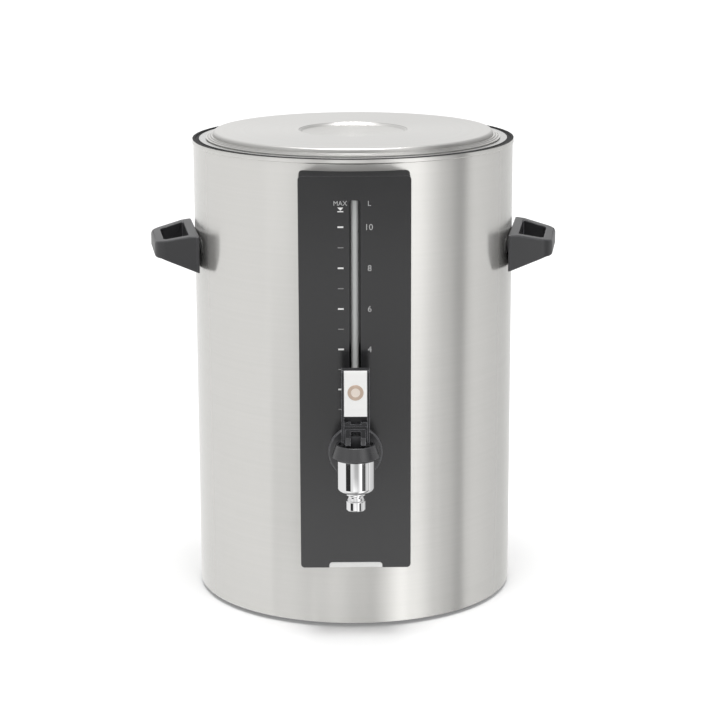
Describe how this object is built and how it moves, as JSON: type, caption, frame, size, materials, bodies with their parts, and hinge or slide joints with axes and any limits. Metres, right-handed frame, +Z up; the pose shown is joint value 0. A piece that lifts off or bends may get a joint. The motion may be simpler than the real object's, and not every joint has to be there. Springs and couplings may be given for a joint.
{
  "type": "hot water urn",
  "caption": "Upright cylindrical hot water urn in brushed steel with a lift-off lid, two black loop handles, a black front panel with a level gauge, and a lever tap with a spout.",
  "frame": {"origin": "on the plane of the feet's undersides, under the middle of the vessel", "axes": "+Z up along the vessel's axis; the tap and the front panel face -Y; +X is on the right of someone who faces the urn's front, as in the picture"},
  "size_m": [0.3928, 0.3911, 0.4502],
  "materials": {
    "shell_steel": "brushed around the body",
    "lid_steel": "satin",
    "tank_steel": "plain drawn sheet",
    "zinc_steel": "zinc plated",
    "tap_chrome": "polished",
    "panel_black": "fine texture",
    "handle_black": "fine texture",
    "rim_black": "smooth matt",
    "tap_black": "satin gloss",
    "foot_rubber": "matt",
    "seal_silicone": "smooth",
    "gauge_glass": "clear",
    "mark_white": "printed",
    "clip_white": "smooth",
    "badge_copper": "brushed",
    "wool": "mineral wool",
    "heater_aluminium": "plain",
    "element_alloy": "dull oxide",
    "terminal_ceramic": "glazed",
    "phenolic": "moulded",
    "inlet_black": "moulded",
    "rocker_red": "translucent",
    "lead_sleeve": "silicone sleeve"
  },
  "bodies": {
    "urn": {"outer_shell": "shell_steel", "base_plate": "zinc_steel", "rubber_feet": "foot_rubber", "inner_tank": "tank_steel", "tank_studs": "zinc_steel", "insulation_jacket": "wool", "rim_ring": "rim_black", "heater_plate": "heater_aluminium", "heating_element": "element_alloy", "element_clamp": "zinc_steel", "stud_nuts": "zinc_steel", "shield_spacers": "zinc_steel", "heat_shield": "heater_aluminium", "thermostat": "phenolic", "boil_dry_cutout": "terminal_ceramic", "sensor_strap": "zinc_steel", "terminal_block": "terminal_ceramic", "inlet_housing": "inlet_black", "power_inlet": "inlet_black", "switch_frame": "inlet_black", "lead_wires": "lead_sleeve", "handle_left": "handle_black", "handle_right": "handle_black", "handle_backings": "zinc_steel", "handle_screws": "zinc_steel", "front_panel": "panel_black", "panel_clip": "clip_white", "panel_screws": "zinc_steel", "scale_marks": "mark_white", "gauge_glass": "gauge_glass", "gauge_block": "tap_chrome", "gauge_seals": "seal_silicone", "gauge_cap": "rim_black", "escutcheon": "tap_black", "outlet_elbow": "tank_steel", "inlet_shank": "tap_chrome", "shank_nut": "tap_chrome", "shank_seals": "seal_silicone", "tap_body": "tap_chrome", "spout_nozzle": "tap_chrome", "tap_collar": "tap_black"},
    "stem": {"valve_stem": "tank_steel", "seat_cup": "seal_silicone", "valve_spring": "tank_steel"},
    "lever": {"tap_lever": "tap_black", "lever_plate": "lid_steel", "lever_badge": "badge_copper", "lever_pin": "zinc_steel"},
    "lid": {"lid_shell": "lid_steel", "lid_pan": "tank_steel", "lid_insulation": "wool", "lid_seal": "seal_silicone"},
    "rocker": {"switch_rocker": "rocker_red"}
  },
  "joints": [
    {"name": "stem_lift", "type": "slide", "parent": "urn", "child": "stem", "axis": [0, 0, 1], "range_m": [0, 0.0048], "deforming": ["valve_spring"]},
    {"name": "lever_tilt", "type": "hinge", "parent": "stem", "child": "lever", "pos_m": [0, -0.2145, 0.2], "axis": [1, 0, 0], "range_deg": [0, 60], "stiffness_Nm_per_rad": 0.3, "springref_deg": -17.19},
    {"name": "lid_lift", "type": "slide", "parent": "urn", "child": "lid", "axis": [0, 0, 1], "range_m": [0, 0.12]},
    {"name": "rocker_tilt", "type": "hinge", "parent": "urn", "child": "rocker", "pos_m": [0.02, 0.14447, 0.046], "axis": [1, 0, 0], "range_deg": [-18, 0]}
  ],
  "couplings": [
    {"joint": "stem_lift", "follows": "lever_tilt", "m_per_rad": 0.0045837}
  ]
}
